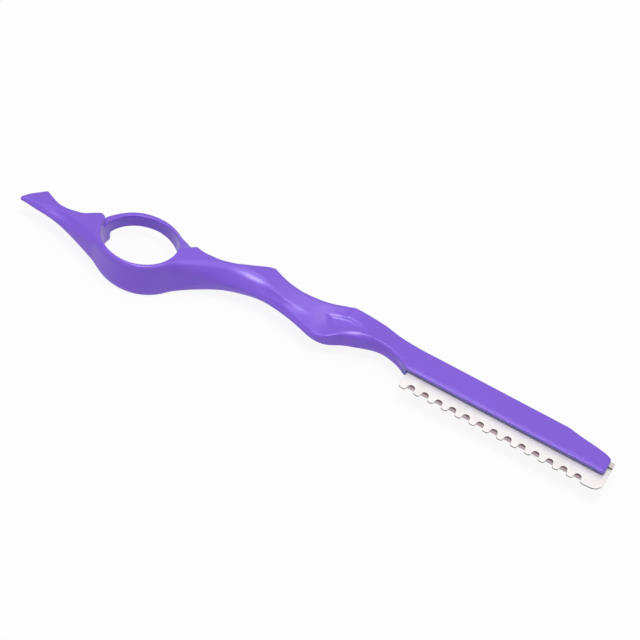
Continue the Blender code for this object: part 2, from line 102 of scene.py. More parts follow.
# Inset of the upper ridge from the near edge, as a share of the half width. It is limited to a
# share of the handle's own width there.
RIDGE_INSET = (
    (0.0, 0.03), (0.030, 0.08), (0.055, 0.18), (0.081, 0.19), (0.120, 0.165), (0.159, 0.09),
    (0.180, 0.085), (0.262, 0.085), (0.294, 0.16), (0.317, 0.24), (0.343, 0.29),
    (0.368, 0.29), (0.394, 0.26), (0.417, 0.205), (0.4397, 0.187), (0.466, 0.258),
    (0.4918, 0.364), (0.5107, 0.495), (0.5156, 0.43), (0.5205, 0.29), (0.5267, 0.17),
    (0.5364, 0.14), (0.5473, 0.14), (0.5613, 0.13), (0.5726, 0.12), (0.5843, 0.085),
    (0.601, 0.035), (0.620, 0.03), (0.66, 0.04), (1.0, 0.04),
)
RIDGE_LIMIT_SHARE = 0.75
LEAST_WIDTH = 0.3
# Half thickness, as a share of the largest.
THICKNESS = (
    (0.0, 0.14), (0.022, 0.22), (0.050, 0.32), (0.077, 0.45), (0.110, 0.64),
    (0.143, 0.85), (0.170, 0.99), (0.190, 1.0), (0.270, 1.0), (0.308, 0.95),
    (0.330, 0.87), (0.352, 0.78), (0.374, 0.70), (0.396, 0.63), (0.418, 0.60),
    (0.462, 0.60), (0.506, 0.625), (0.539, 0.64), (0.561, 0.60), (0.583, 0.53),
    (0.605, 0.43), (0.620, 0.382), (0.640, 0.3635), (0.6590, 0.3585), (1.0, 0.3585),
)
# Height of the near side's upright part, as a share of the half thickness.
SHOULDER = (
    (0.0, 0.34), (0.03, 0.36), (0.055, 0.36), (0.083, 0.40), (0.110, 0.50), (0.143, 0.64),
    (0.170, 0.76), (0.240, 0.80), (0.268, 0.72), (0.308, 0.52), (0.341, 0.26), (0.374, 0.16),
    (0.405, 0.18), (0.440, 0.27), (0.470, 0.34), (0.505, 0.42), (0.520, 0.48), (0.539, 0.70),
    (0.566, 0.66), (0.594, 0.46), (0.640, 0.42), (0.659, 0.70), (1.0, 0.70),
)
LEAST_RISE = 0.1
# Bow of the slope from shoulder to ridge: 1 is full, 0 straight, -1 hollow.
BOW = (
    (0.0, 0.3), (0.03, 0.0), (0.055, -0.2), (0.110, -0.3), (0.150, 0.2), (0.180, 0.7),
    (0.270, 0.6), (0.300, 0.5), (0.330, 0.2), (0.385, 0.1), (0.410, -0.1), (0.440, -0.2),
    (0.500, -0.2), (0.519, -0.1), (0.530, 0.0), (0.572, 0.1), (0.620, 0.6), (0.66, 1.0),
    (1.0, 1.0),
)
# The same on the underside, which is less hollowed.
BOW_BELOW = (
    (0.0, 0.3), (0.03, 0.0), (0.055, -0.1), (0.110, -0.2), (0.150, 0.2), (0.180, 0.7),
    (0.270, 0.6), (0.320, 0.6), (0.375, 0.65), (0.440, -0.2), (0.500, -0.1), (0.530, 0.1),
    (0.572, 0.1), (0.620, 0.6), (0.66, 1.0), (1.0, 1.0),
)
# Widths over which the ridge, the shoulder and the far edges are eased, in millimetres.
RIDGE_EASE = (
    (0.0, 0.25), (0.035, 0.22), (0.060, 0.15), (0.140, 0.1), (0.170, 0.22), (0.270, 0.3),
    (0.300, 0.6), (0.330, 0.8), (0.360, 1.2), (0.395, 1.2), (0.420, 0.2), (0.490, 0.06),
    (0.508, 0.5), (0.520, 0.8), (0.530, 0.08), (0.560, 0.08), (0.600, 0.1), (0.650, 0.1),
    (0.665, 0.45), (1.0, 0.45),
)
SHOULDER_EASE = (
    (0.0, 0.3), (0.050, 0.9), (0.120, 0.9), (0.170, 0.35), (0.270, 0.4), (0.310, 0.9),
    (0.390, 0.8), (0.415, 0.9), (0.440, 1.7), (0.505, 1.7), (0.525, 0.8), (0.560, 0.7),
    (0.600, 0.2), (1.0, 0.06),
)
FAR_EASE = (
    (0.0, 0.5), (0.120, 0.7), (0.280, 0.8), (0.300, 1.1), (0.330, 1.6), (0.385, 1.6),
    (0.402, 1.0), (0.430, 1.6), (0.500, 1.7), (0.530, 1.1), (0.550, 0.5), (0.620, 0.4),
    (1.0, 0.4),
)
# An eased edge draws in from its corner. Where the ease is wider than these widths, the edge
# is set out again by a share of the rest, and the far edge by a little more.
NEAR_EASE_FREE = 0.45
FAR_EASE_FREE = 0.4
SET_OUT_SHARE = 0.6
FAR_SET_OUT = 0.1
# How far the holder's near wall leans in under its lip, in millimetres. The lower jaw stands
# back by a share of the same.
UNDERCUT = ((0.0, 0.0), (0.625, 0.0), (0.655, 0.45), (1.0, 0.45))
LOWER_JAW_SHARE = 1.3
# Fall of the top face from the far edge towards the ridge, before the thumb rest.
FACET_FALL = (
    (0.0, 0.0), (0.395, 0.0), (0.43, 0.09), (0.47, 0.15), (0.51, 0.15), (0.545, 0.07),
    (0.575, 0.0), (1.0, 0.0),
)

# Each table becomes a dense row of values along the handle, which overruns both of its ends.
# The bends of the edges and of the tables are softened over these widths in millimetres.
TABLE_STEP = 0.05
TABLE_FROM = -3.0
TABLE_OVERRUN = 4.0
FAR_EDGE_SPREAD = 0.28
NEAR_EDGE_SPREAD = 0.4
TABLES = {
    "half": (THICKNESS, 1.2),
    "inset": (RIDGE_INSET, 0.6),
    "shoulder": (SHOULDER, 0.7),
    "bow": (BOW, 0.8),
    "bow_below": (BOW_BELOW, 0.8),
    "fall": (FACET_FALL, 1.5),
    "undercut": (UNDERCUT, 1.0),
    "ridge_ease": (RIDGE_EASE, 1.5),
    "shoulder_ease": (SHOULDER_EASE, 1.5),
    "far_ease": (FAR_EASE, 1.5),
}
table_places = np.arange(TABLE_FROM, LENGTH + TABLE_OVERRUN, TABLE_STEP)


def soft_max(a, b, width):
    """The larger of two distances, with their crossing eased over a width: added to it is a
    quarter of the width times the square of how nearly the two are equal."""
    near_equal = np.maximum(width - np.abs(a - b), 0) / width
    return np.maximum(a, b) + near_equal * near_equal * width / 4


def soft_min(a, b, width):
    """The smaller of two distances, with their crossing eased over a width."""
    return -soft_max(-a, -b, width)


def straight_run(points, at):
    """Straight lines from point to point of a table."""
    xs, ys = np.array(points, float).T
    return np.interp(at, xs, ys)


def smooth_run(points, at):
    """Cubic curve through the points of a table. Its slope at each point is the mean of the
    slopes of the straight lines on the two sides, and between two points the cubic weights of
    t, the share of the way, blend their values and slopes."""
    xs, ys = np.array(points, float).T
    slopes = np.diff(ys) / np.diff(xs)
    tangents = np.concatenate((slopes[:1], (slopes[:-1] + slopes[1:]) / 2, slopes[-1:]))
    piece = np.clip(np.searchsorted(xs, at, side="right") - 1, 0, len(xs) - 2)
    width = xs[piece + 1] - xs[piece]
    t = (np.clip(at, xs[0], xs[-1]) - xs[piece]) / width
    start = (1 + 2 * t) * (1 - t) ** 2 * ys[piece] + t * (1 - t) ** 2 * width * tangents[piece]
    end = t * t * (3 - 2 * t) * ys[piece + 1] + t * t * (t - 1) * width * tangents[piece + 1]
    return start + end


def softened(values, spread):
    """Running mean under a bell curve whose standard width is the spread, in millimetres, cut
    off at three times that."""
    reach = int(3 * spread / TABLE_STEP)
    offsets = np.arange(-reach, reach + 1) * TABLE_STEP
    weights = np.exp(-0.5 * (offsets / spread) ** 2)
    padded = np.pad(values, reach, mode="edge")
    return np.convolve(padded, weights / weights.sum(), mode="valid")


def far_edge(share, ease):
    """Far edge at shares of the length: the runs one after the other, softened where they meet,
    and set out again by a share of the ease."""
    edge = np.zeros_like(share)
    for run in FAR_EDGE_RUNS:
        within = (share >= run[0][0]) & (share <= run[-1][0])
        follow = smooth_run if len(run) > STRAIGHT_POINTS else straight_run
        edge[within] = follow(run, share[within])
    edge = np.minimum(softened(edge * HALF_WIDTH, FAR_EDGE_SPREAD), HALF_WIDTH)
    set_out = SET_OUT_SHARE * np.maximum(ease - FAR_EASE_FREE, 0) + FAR_SET_OUT
    return np.minimum(edge + set_out, HALF_WIDTH)


def near_edge(share, ease):
    """Near edge at shares of the length: its curve or the ring's round wall, whichever reaches
    further, then the holder's straight edge, all set out again by a share of the ease."""
    edge = smooth_run(NEAR_EDGE, share) * HALF_WIDTH
    edge = np.where(share > NEAR_EDGE[-1][0], HOLDER_NEAR_EDGE, edge)
    from_ring = table_places - RING_ALONG
    reach = np.sqrt(np.clip(NEAR_WALL_RADIUS ** 2 - from_ring ** 2, 0, None))
    ring_wall = RING_ACROSS - np.where(np.abs(from_ring) < NEAR_WALL_RADIUS, reach, -np.inf)
    edge = softened(soft_min(edge, ring_wall, NEAR_WALL_EASE), NEAR_EDGE_SPREAD)
    return edge - SET_OUT_SHARE * np.maximum(ease - NEAR_EASE_FREE, 0)


share = np.clip(table_places / LENGTH, 0, 1)
rows = {
    name: softened(straight_run(points, share), spread)
    for name, (points, spread) in TABLES.items()
}
rows["far"] = far_edge(share, rows["far_ease"])
rows["near"] = near_edge(share, rows["shoulder_ease"])
rows["far_slope"] = np.gradient(rows["far"], TABLE_STEP)
rows["near_slope"] = np.gradient(rows["near"], TABLE_STEP)
rows["half"] = rows["half"] * HALF_THICKNESS
ridge_limit = RIDGE_LIMIT_SHARE * np.maximum(rows["far"] - rows["near"], LEAST_WIDTH)
rows["inset"] = np.minimum(rows["inset"] * HALF_WIDTH, ridge_limit)


def row_at(row, place):
    """A dense row's values at places along the handle, on straight lines between its steps."""
    position = (place - TABLE_FROM) / TABLE_STEP
    index = np.clip(position.astype(int), 0, len(table_places) - 2)
    part = np.clip(position - index, 0, 1)
    return row[index] * (1 - part) + row[index + 1] * part


def upright_place(x, z):
    """Place along the handle of a point's cross-section: the point's own, moved by height times
    the lean, which fades away from the ring. Three rounds settle it."""
    place = x
    for _ in range(3):
        away = np.abs(place - RING_ALONG) / (2 * BORE_RADIUS)
        fade = np.clip((LEAN_END_SHARE - away) / LEAN_FADE_SHARE, 0, 1)
        place = x + z * LEAN_SLOPE * fade * fade * (3 - 2 * fade)
    return place


def past_wall(along, across, wall):
    """How far a place in plan lies past an upright wall: its offset from the wall's point,
    taken along the way that the wall faces."""
    (point_along, point_across), (facing_along, facing_across) = wall
    return (along - point_along) * facing_along + (across - point_across) * facing_across


# Thumb rest: a dish in the top face. Its corner in plan, turn, two half axes and depth, and how
# steeply its short side, its long side and its curved rim fall to the floor.
DISH_CORNER = (95.9, 3.0)
DISH_TURN = (math.cos(math.radians(32.7)), math.sin(math.radians(32.7)))
DISH_LENGTH = 10.1
DISH_WIDTH = 5.9
DISH_DEPTH = 0.6
DISH_SHORT_FALL = 0.7
DISH_LONG_FALL = 0.6
DISH_LONG_START = 0.1
DISH_RIM_FALL = 3.6
DISH_SIDE_EASE = 0.3
DISH_FLOOR_EASE = 0.35
DISH_EDGE_EASE = 0.15
# Its edge is blunter round one place near the corner, out to a distance.
BLUNT_PLACE = (94.3, 5.4)
BLUNT_WIDTH_SHARE = 0.6
BLUNT_END = 3.75
BLUNT_FADE = 2.5
BLUNT_EASE = 0.6


def dish_share(x, y):
    """Share of the thumb rest's depth at a place in plan: nought on its rim, negative outside
    and one on its floor. The rim is a quarter of an ellipse between two straight sides, and
    the share is the least of what each of the three gives and of one."""
    along = x - DISH_CORNER[0]
    across = y - DISH_CORNER[1]
    u = along * DISH_TURN[0] + across * DISH_TURN[1]
    v = across * DISH_TURN[0] - along * DISH_TURN[1]
    rim = DISH_RIM_FALL * (1 - (u / DISH_LENGTH) ** 2 - (np.maximum(v, 0) / DISH_WIDTH) ** 2)
    long_side = v * DISH_LONG_FALL + DISH_LONG_START
    sides = soft_min(u * DISH_SHORT_FALL, long_side, DISH_SIDE_EASE)
    return soft_min(soft_min(sides, rim, DISH_SIDE_EASE), 1.0, DISH_FLOOR_EASE)


# The tang ends above the ring's band in two upright walls, each given by a point in plan and
# by the way that it faces. Behind them the casting is cut away down to a floor.
TANG_WALLS = (((23.8, 0.1), (0.53, 0.848)), ((25.35, -0.8), (0.965, 0.262)))
TANG_CUT_NEAR = -5.3
TANG_CUT_END = 36.0
TANG_CUT_FLOOR = 1.9
TANG_CORNER_EASE = 0.5
TANG_CUT_EASE = 0.3
TAIL_EASE = 0.6
TIP_EASE = 0.7


def shoulder_distance(value, depth, height, below):
    """How far a point lies outside the sloping shoulder. Let u and v run from nought at the
    slope's foot to one at the ridge, across and up, and let t be their mean. The slope lies
    where v - u is 2 bow t (1 - t), a parabola on the straight line from foot to ridge, and the
    distance is what v - u has over that, divided by its steepness."""
    foot = value["half"] * value["shoulder"]
    ridge = value["half"] - value["fall"] * (value["far"] - value["near"] - value["inset"])
    rise = np.maximum(ridge - foot, LEAST_RISE)
    u = depth / value["inset"]
    v = (height - foot) / rise
    t = np.clip((u + v) / 2, 0, 1)
    bow = np.where(below, value["bow_below"], value["bow"])
    bend = bow * (1 - 2 * t)
    over = v - u - bow * 2 * t * (1 - t)
    across_steepness = ((1 + bend) / value["inset"]) ** 2 * (1 + value["near_slope"] ** 2)
    return over / np.sqrt(across_steepness + ((1 - bend) / rise) ** 2)


def tang_cut_distance(place, y, z):
    """How far a point lies outside the room behind the tang: the largest of its distances
    before the tang's end walls, past the room's near side and end, and under its floor."""
    end_wall = soft_max(*(past_wall(place, y, wall) for wall in TANG_WALLS), TANG_CORNER_EASE)
    return np.maximum.reduce((
        -end_wall, TANG_CUT_NEAR - y, place - TANG_CUT_END, TANG_CUT_FLOOR - z,
    ))


def body_distance(x, y, z):
    """How far a point lies outside the handle's body: the largest of its distances past the
    near wall, the sloping shoulder, the top and under faces with the thumb rest's dish, the
    far wall, the two ends, and into the room behind the tang."""
    place = upright_place(x, z)
    value = {name: row_at(row, place) for name, row in rows.items()}
    height = np.abs(z)
    depth = y - value["near"]
    under_lip = np.clip(1 - height / value["half"], 0, 1)
    under = value["undercut"] * np.where(z > 0, under_lip, LOWER_JAW_SHARE)
    near_wall = (under - depth) / np.sqrt(1 + value["near_slope"] ** 2)
    far_wall = (y - value["far"]) / np.sqrt(1 + value["far_slope"] ** 2)
    top = height - value["half"] + value["fall"] * np.clip(value["far"] - y, 0, None)
    shoulder = shoulder_distance(value, depth, height, z <= 0)
    side = soft_max(near_wall, shoulder, value["shoulder_ease"])
    side = soft_max(side, top, value["ridge_ease"])
    from_blunt = np.hypot(x - BLUNT_PLACE[0], (y - BLUNT_PLACE[1]) * BLUNT_WIDTH_SHARE)
    blunt = np.clip((BLUNT_END - from_blunt) / BLUNT_FADE, 0, 1)
    dished_top = top + DISH_DEPTH * dish_share(x, y)
    side = soft_max(side, dished_top, DISH_EDGE_EASE + BLUNT_EASE * blunt)
    side = soft_max(side, far_wall, value["far_ease"])
    side = soft_max(side, TAIL_START - x, TAIL_EASE)
    side = soft_max(side, -tang_cut_distance(place, y, z), TANG_CUT_EASE)
    return soft_max(side, x - LENGTH, TIP_EASE)


# Thin far band of the ring: its wall flares towards the tang, by angle round the bore.
BAND_WALL = 1.55
BAND_FLARE = ((-8, 1.0), (140, 1.0), (152, 1.1), (166, 1.42), (188, 1.6))
BAND_HALF_HEIGHT = 1.95
BAND_ROOT = 1.6
BAND_EASE = 0.4
BAND_ROOT_EASE = 0.3
# Web between band and grip, by angle round the bore: its height at the rim, at its outer
# edge, and that edge's distance from the bore's axis.
WEB_ANGLES = (5, 14.8, 18.8, 32.8, 51, 61, 72, 87, 180)
WEB_RIM = (0.87, 0.77, 0.73, 0.63, 0.57, 0.50, 0.42, 0.368, 0.36)
WEB_EDGE = (0.81, 0.81, 0.58, 0.47, 0.45, 0.41, 0.375, 0.345, 0.34)
WEB_REACH = (18.0, 18.0, 18.0, 14.94, 12.725, 12.725, 12.725, 12.725, 12.725)
# The web's far side, in millimetres from the bore's axis: two upright walls, and a least radius
# before the first one. Along the handle the web lies between two distances.
WEB_FIRST_WALL = ((8.01, 9.89), (0.367, 0.930))
WEB_SECOND_WALL = ((12.55, 8.10), (0.456, 0.890))
WEB_RADIUS = 12.7
WEB_FROM = 0.8
WEB_TO = 16.0
WEB_CORNER_EASE = 0.3
WEB_WALL_EASE = 0.6
WEB_TOP_EASE = 0.7
WEB_END_EASE = 0.3
WEB_TO_BAND_EASE = 0.5


def ring_distance(x, y, z):
    """How far a point lies outside the ring's far band and the web that joins it to the grip:
    a flaring arc of wall, and a wedge whose height grows towards the grip."""
    along = x + z * LEAN_SLOPE - RING_ALONG
    across = y - RING_ACROSS
    radius = np.hypot(along, across)
    angle = np.degrees(np.arctan2(across, along))
    angle = np.where(angle < -90, angle + 360, angle)
    wall = BAND_WALL * straight_run(BAND_FLARE, angle)
    band = soft_max(radius - BORE_RADIUS - wall, np.abs(z) - BAND_HALF_HEIGHT, BAND_EASE)
    band = soft_max(band, -across - BAND_ROOT, BAND_ROOT_EASE)
    rim = np.interp(angle, WEB_ANGLES, WEB_RIM) * HALF_THICKNESS
    edge = np.interp(angle, WEB_ANGLES, WEB_EDGE) * HALF_THICKNESS
    reach = np.interp(angle, WEB_ANGLES, WEB_REACH)
    outwards = np.clip((radius - BORE_RADIUS) / (reach - BORE_RADIUS), 0, 1)
    web_top = np.abs(z) - rim - (edge - rim) * outwards
    first_side = past_wall(along, across, WEB_FIRST_WALL)
    second_side = past_wall(along, across, WEB_SECOND_WALL)
    web_side = soft_min(first_side, radius - WEB_RADIUS, WEB_CORNER_EASE)
    web_side = soft_max(web_side, second_side, WEB_WALL_EASE)
    web_ends = np.maximum(np.maximum(-across, WEB_FROM - along), along - WEB_TO)
    web = soft_max(soft_max(web_side, web_top, WEB_TOP_EASE), web_ends, WEB_END_EASE)
    return soft_min(band, web, WEB_TO_BAND_EASE)


# Slot for the cartridge, and the wider channel for its spine clip at the slot's back.
SLOT_START = 120.2
SLOT_BACK = 9.4
SLOT_HALF = 0.48
CHANNEL_FRONT = 7.8
CHANNEL_BACK = 10.6
CHANNEL_HALF = 0.9
SLOT_EASE = 0.2
BORE_EASE = 0.4
RING_TO_BODY_EASE = 0.7


def handle_distance(x, y, z):
    """How far a point lies outside the handle: body, band and web, less the finger's bore
    and the slot for the cartridge with its wider channel for the spine clip."""
    solid = soft_min(body_distance(x, y, z), ring_distance(x, y, z), RING_TO_BODY_EASE)
    along = x + z * LEAN_SLOPE - RING_ALONG
    bore = np.hypot(along, y - RING_ACROSS) - BORE_RADIUS
    solid = soft_max(solid, -bore, BORE_EASE)
    before_slot = SLOT_START - x
    height = np.abs(z)
    slot = np.maximum.reduce((before_slot, y - SLOT_BACK, height - SLOT_HALF))
    channel = np.maximum.reduce((
        before_slot, CHANNEL_FRONT - y, y - CHANNEL_BACK, height - CHANNEL_HALF,
    ))
    return soft_max(solid, -np.minimum(slot, channel), SLOT_EASE)


def skin_of(distance, xs, ys, zs):
    """Closed skin where a distance is nought, on a grid of cells: one point in every cell that
    the skin crosses, at the mean of its crossings of the cell's edges, and one four-sided face
    round every grid edge that it crosses."""
    grid = np.meshgrid(xs, ys, zs, indexing="ij")
    field = distance(*grid)
    inside = field < 0
    cells = tuple(size - 1 for size in field.shape)
    total = np.zeros(cells + (3,))
    count = np.zeros(cells)
    axes = (xs, ys, zs)
    crossings = []
    for axis in range(3):
        low = [slice(None)] * 3
        high = [slice(None)] * 3
        low[axis] = slice(None, -1)
        high[axis] = slice(1, None)
        low, high = tuple(low), tuple(high)
        where = np.argwhere(inside[low] != inside[high])
        first = field[low][tuple(where.T)]
        second = field[high][tuple(where.T)]
        part = first / (first - second)
        place = np.stack([axes[k][where[:, k]] for k in range(3)], 1)
        place[:, axis] += part * np.diff(axes[axis])[where[:, axis]]
        crossings.append((axis, where, first < 0))
        others = [k for k in range(3) if k != axis]
        for step_a in (0, 1):
            for step_b in (0, 1):
                cell = where.copy()
                cell[:, others[0]] -= step_a
                cell[:, others[1]] -= step_b
                valid = np.all((cell >= 0) & (cell < cells), 1)
                spot = tuple(cell[valid].T)
                np.add.at(total, spot, place[valid])
                np.add.at(count, spot, 1)
    used = count > 0
    number = np.full(cells, -1)
    number[used] = np.arange(used.sum())
    points = total[used] / count[used][:, None]
    faces = []
    for axis, where, leaving in crossings:
        first, second = (axis + 1) % 3, (axis + 2) % 3
        around = []
        for step_a, step_b in ((0, 0), (1, 0), (1, 1), (0, 1)):
            cell = where.copy()
            cell[:, first] -= step_a
            cell[:, second] -= step_b
            around.append(number[tuple(cell.T)])
        quads = np.stack(around, 1)
        quads[~leaving] = quads[~leaving][:, ::-1]
        faces.append(quads)
    return points, np.concatenate(faces)


def slope_of(distance, points):
    """Distance at points and its slope there, from differences over a hundredth of a
    millimetre each way."""
    step = 0.01
    slope = np.empty_like(points)
    for axis in range(3):
        shift = np.zeros(3)
        shift[axis] = step
        change = distance(*(points + shift).T) - distance(*(points - shift).T)
        slope[:, axis] = change / (2 * step)
    return distance(*points.T), slope


SETTLE_ROUNDS = 4
SETTLE_SHARE = 0.5
LEAST_STEEPNESS = 0.2
LONGEST_MOVE = 0.15


def settle(distance, points, faces, rounds):
    """Even out a skin's points: each goes a share of the way to the mean of its neighbours and
    slides back onto the skin in two moves along the slope, each by its distance over the
    slope's steepness and no longer than a longest move. The last round only slides."""
    edges = np.concatenate([faces[:, [side, (side + 1) % 4]] for side in range(4)])
    edges = np.concatenate((edges, edges[:, ::-1]))
    near_count = np.bincount(edges[:, 0], minlength=len(points))[:, None]
    for turn in range(rounds):
        mean = np.stack([
            np.bincount(edges[:, 0], weights=points[edges[:, 1], k], minlength=len(points))
            for k in range(3)
        ], 1) / near_count
        if turn < rounds - 1:
            points = points + SETTLE_SHARE * (mean - points)
        for _ in range(2):
            value, slope = slope_of(distance, points)
            steepness = np.maximum((slope ** 2).sum(1), LEAST_STEEPNESS)
            move = -(value / steepness)[:, None] * slope
            reach = np.linalg.norm(move, axis=1)[:, None]
            points = points + move * (LONGEST_MOVE / np.maximum(reach, LONGEST_MOVE))
    return points


def add_piece(name, points, faces):
    """Mesh object of points in millimetres and of faces that all have the same corners."""
    mesh = bpy.data.meshes.new(name)
    corners = faces.shape[1]
    mesh.vertices.add(len(points))
    mesh.vertices.foreach_set("co", (points * MM).astype(np.float32).ravel())
    mesh.loops.add(faces.size)
    mesh.loops.foreach_set("vertex_index", faces.astype(np.int32).ravel())
    mesh.polygons.add(len(faces))
    mesh.polygons.foreach_set("loop_start", np.arange(0, faces.size, corners, dtype=np.int32))
    mesh.update(calc_edges=True)
    mesh.validate()
    mesh.shade_smooth()
    piece = bpy.data.objects.new(name, mesh)
    bpy.context.scene.collection.objects.link(piece)
    return piece


# The grid's cells in millimetres. Along the handle they come in runs, each with its start, end
# and length of cell: finest at the slot's end and at the tip, longest on the straight holder.
CELL_RUNS = ((-0.6, 119.9, 0.27), (119.9, 121.2, 0.15), (121.2, 180.0, 0.8), (180.0, 182.4, 0.22))
CELL = 0.25
GRID_NEAR = -15.1
GRID_FAR = 15.3
GRID_LEVELS = 46
TO_FRAME = np.array([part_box("handle")[0].x / MM, -MIDDLE_ACROSS, HALF_THICKNESS])
skin_points, skin_faces = skin_of(
    handle_distance,
    np.concatenate([np.arange(*run) for run in CELL_RUNS]),
    np.arange(GRID_NEAR, GRID_FAR, CELL),
    (np.arange(GRID_LEVELS) - (GRID_LEVELS - 1) / 2) * CELL,
)
skin_points = settle(handle_distance, skin_points, skin_faces, SETTLE_ROUNDS)
handle = add_piece("handle_casting", skin_points + TO_FRAME, skin_faces)


def fine_mottle_group():
    """Uneven finish that every material here has: broad soft clouds and fine grain, as two
    masks about one half. The grain is drawn out along the razor where its stretch is small."""
    group = bpy.data.node_groups.new("fine_mottle", "ShaderNodeTree")
    for name in ("Cloud Scale", "Grain Scale", "Stretch"):
        group.interface.new_socket(name=name, in_out="INPUT", socket_type="NodeSocketFloat")
    for name in ("Clouds", "Grain"):
        group.interface.new_socket(name=name, in_out="OUTPUT", socket_type="NodeSocketFloat")
    nodes, links = group.nodes, group.links
    given = nodes.new("NodeGroupInput")
    result = nodes.new("NodeGroupOutput")
    place = nodes.new("ShaderNodeTexCoord")
    lengthwise = nodes.new("ShaderNodeCombineXYZ")
    lengthwise.inputs["Y"].default_value = 1.0
    lengthwise.inputs["Z"].default_value = 1.0
    drawn_out = nodes.new("ShaderNodeVectorMath")
    drawn_out.operation = "MULTIPLY"
    links.new(given.outputs["Stretch"], lengthwise.inputs["X"])
    links.new(place.outputs["Object"], drawn_out.inputs[0])
    links.new(lengthwise.outputs["Vector"], drawn_out.inputs[1])
    clouds = nodes.new("ShaderNodeTexNoise")
    clouds.inputs["Detail"].default_value = 3.0
    clouds.inputs["Roughness"].default_value = 0.55
    grain = nodes.new("ShaderNodeTexNoise")
    grain.inputs["Detail"].default_value = 2.0
    grain.inputs["Roughness"].default_value = 0.6
    links.new(place.outputs["Object"], clouds.inputs["Vector"])
    links.new(drawn_out.outputs["Vector"], grain.inputs["Vector"])
    links.new(given.outputs["Cloud Scale"], clouds.inputs["Scale"])
    links.new(given.outputs["Grain Scale"], grain.inputs["Scale"])
    links.new(clouds.outputs["Fac"], result.inputs["Clouds"])
    links.new(grain.outputs["Fac"], result.inputs["Grain"])
    return group


fine_mottle = fine_mottle_group()
MOTTLE_LOW = 0.3
MOTTLE_HIGH = 0.7


def finish(name, dark, light, rough, metallic, clouds, grain, stretch, relief_share, relief):
    """Material of two colours that the mean of clouds and grain mixes, with a roughness that
    follows the clouds between two values, and the grain as a low relief in millimetres."""
    material = bpy.data.materials.new(name)
    material.use_nodes = True
    nodes, links = material.node_tree.nodes, material.node_tree.links
    shader = nodes["Principled BSDF"]
    shader.inputs["Metallic"].default_value = metallic
    mottle = nodes.new("ShaderNodeGroup")
    mottle.node_tree = fine_mottle
    mottle.inputs["Cloud Scale"].default_value = clouds
    mottle.inputs["Grain Scale"].default_value = grain
    mottle.inputs["Stretch"].default_value = stretch
    both = nodes.new("ShaderNodeMath")
    both.operation = "MULTIPLY_ADD"
    both.inputs[1].default_value = 0.5
    links.new(mottle.outputs["Clouds"], both.inputs[0])
    half_grain = nodes.new("ShaderNodeMath")
    half_grain.operation = "MULTIPLY"
    half_grain.inputs[1].default_value = 0.5
    links.new(mottle.outputs["Grain"], half_grain.inputs[0])
    links.new(half_grain.outputs["Value"], both.inputs[2])
    colour = nodes.new("ShaderNodeValToRGB")
    colour.color_ramp.elements[0].position = MOTTLE_LOW
    colour.color_ramp.elements[0].color = (*dark, 1.0)
    colour.color_ramp.elements[1].position = MOTTLE_HIGH
    colour.color_ramp.elements[1].color = (*light, 1.0)
    links.new(both.outputs["Value"], colour.inputs["Fac"])
    links.new(colour.outputs["Color"], shader.inputs["Base Color"])
    rough_range = nodes.new("ShaderNodeMapRange")
    rough_range.inputs["From Min"].default_value = MOTTLE_LOW
    rough_range.inputs["From Max"].default_value = MOTTLE_HIGH
    rough_range.inputs["To Min"].default_value = rough[0]
    rough_range.inputs["To Max"].default_value = rough[1]
    links.new(mottle.outputs["Clouds"], rough_range.inputs["Value"])
    links.new(rough_range.outputs["Result"], shader.inputs["Roughness"])
    grain_relief = nodes.new("ShaderNodeBump")
    grain_relief.inputs["Strength"].default_value = relief_share
    grain_relief.inputs["Distance"].default_value = relief * MM
    links.new(mottle.outputs["Grain"], grain_relief.inputs["Height"])
    links.new(grain_relief.outputs["Normal"], shader.inputs["Normal"])
    return material


def axis_mask_group():
    """Mask of a slab: one where a place's distance along an axis from a middle is under the
    start, nought where it is over the end."""
    group = bpy.data.node_groups.new("axis_mask", "ShaderNodeTree")
    axis = group.interface.new_socket(name="Axis", in_out="INPUT", socket_type="NodeSocketVector")
    axis.default_value = (0.0, 0.0, 1.0)
    for name in ("Middle", "Start", "End"):
        group.interface.new_socket(name=name, in_out="INPUT", socket_type="NodeSocketFloat")
    group.interface.new_socket(name="Mask", in_out="OUTPUT", socket_type="NodeSocketFloat")
    nodes, links = group.nodes, group.links
    given = nodes.new("NodeGroupInput")
    result = nodes.new("NodeGroupOutput")
    place = nodes.new("ShaderNodeTexCoord")
    along = nodes.new("ShaderNodeVectorMath")
    along.operation = "DOT_PRODUCT"
    links.new(place.outputs["Object"], along.inputs[0])
    links.new(given.outputs["Axis"], along.inputs[1])
    from_middle = nodes.new("ShaderNodeMath")
    from_middle.operation = "SUBTRACT"
    links.new(along.outputs["Value"], from_middle.inputs[0])
    links.new(given.outputs["Middle"], from_middle.inputs[1])
    away = nodes.new("ShaderNodeMath")
    away.operation = "ABSOLUTE"
    links.new(from_middle.outputs["Value"], away.inputs[0])
    fade = nodes.new("ShaderNodeMapRange")
    fade.inputs["To Min"].default_value = 1.0
    fade.inputs["To Max"].default_value = 0.0
    links.new(away.outputs["Value"], fade.inputs["Value"])
    links.new(given.outputs["Start"], fade.inputs["From Min"])
    links.new(given.outputs["End"], fade.inputs["From Max"])
    links.new(fade.outputs["Result"], result.inputs["Mask"])
    return group


axis_mask = axis_mask_group()
ALONG = (1.0, 0.0, 0.0)
ACROSS = (0.0, 1.0, 0.0)
UP = (0.0, 0.0, 1.0)


